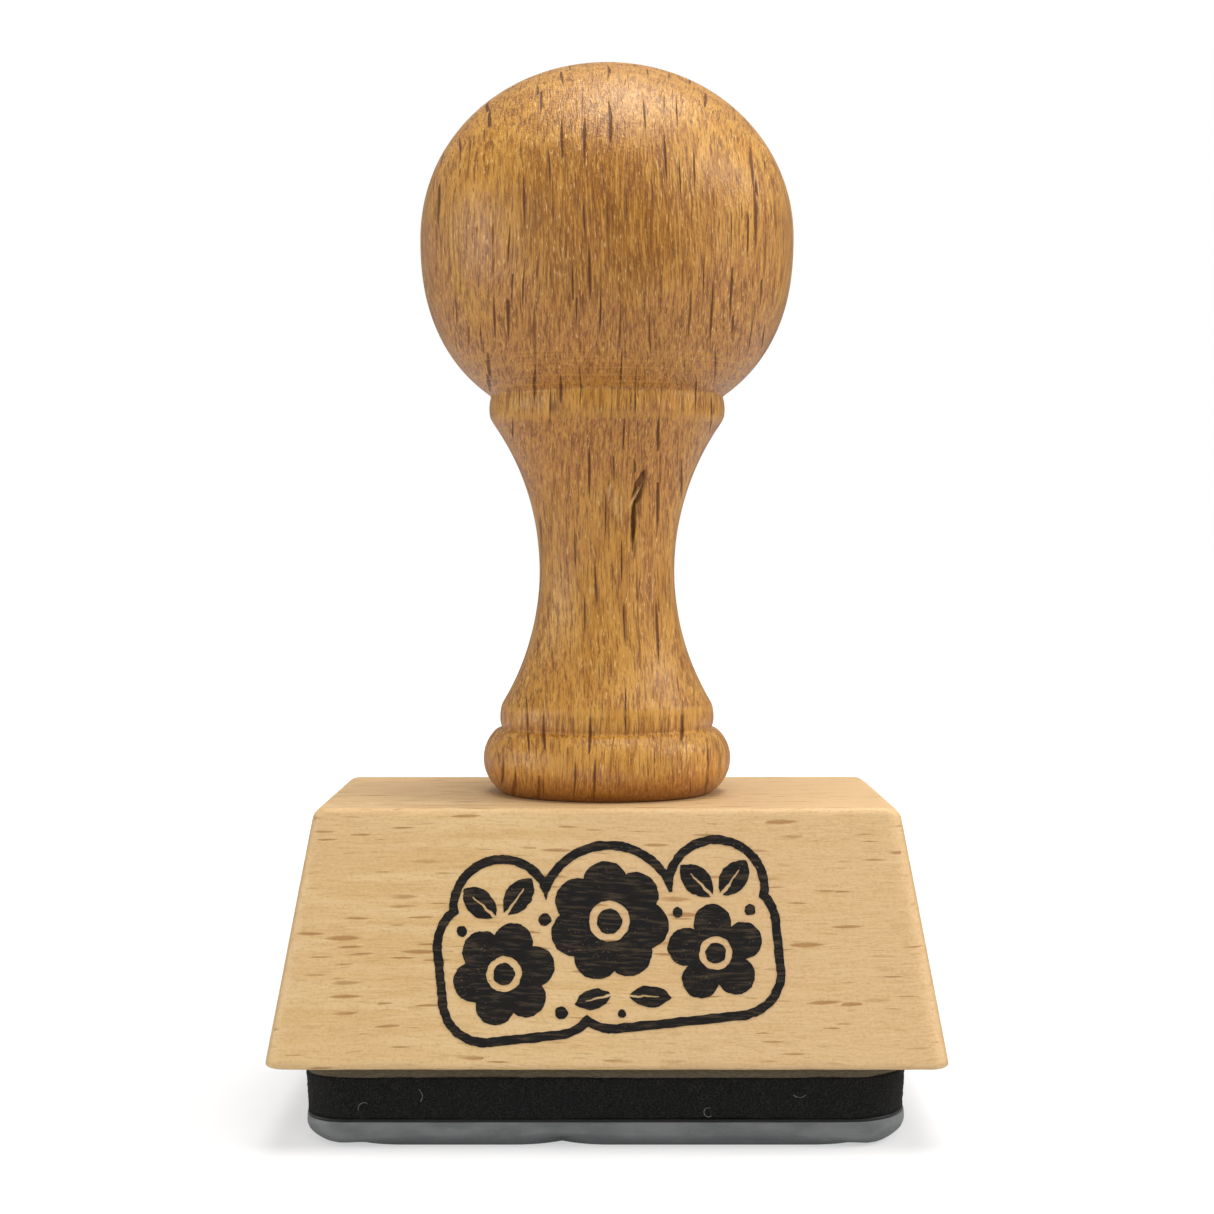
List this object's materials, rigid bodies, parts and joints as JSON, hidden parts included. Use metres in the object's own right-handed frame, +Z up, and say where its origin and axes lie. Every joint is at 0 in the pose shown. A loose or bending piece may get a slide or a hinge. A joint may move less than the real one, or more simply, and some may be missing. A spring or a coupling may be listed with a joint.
{
  "type": "rubber stamp",
  "caption": "Hand rubber stamp: a turned wooden knob handle on a tapered wood block, with a foam cushion and an engraved rubber die.",
  "frame": {"origin": "centre of the printing face, on the plane of the relief's lowest surface, which is the paper when the stamp stands on it", "axes": "+Z up the handle; +X to the right along the block's length; -Y out of the block's front face, which has the index print"},
  "size_m": [0.0598, 0.0364, 0.0979],
  "materials": {
    "lacquered_beech": "stained and clear lacquered, satin gloss",
    "plated_steel": "zinc plated",
    "plain_beech": "sanded, uncoated, matt",
    "black_ink": "printed ink, matt",
    "kraft_tape": "olive adhesive carrier",
    "black_foam": "fine closed-cell foam, matt",
    "black_film": "adhesive film",
    "grey_rubber": "moulded and engraved, satin"
  },
  "bodies": {
    "stamp_body": {"handle": "lacquered_beech", "dowel_screw": "plated_steel", "mount_block": "plain_beech", "index_print": "black_ink", "mounting_tape": "kraft_tape", "foam_cushion": "black_foam"},
    "die": {"die_film": "black_film", "rubber_die": "grey_rubber"}
  },
  "joints": [
    {"name": "cushion_press", "type": "slide", "parent": "stamp_body", "child": "die", "axis": [0, 0, 1], "range_m": [0, 0.0012], "stiffness_N_per_m": 40000, "deforming": ["foam_cushion"]}
  ]
}
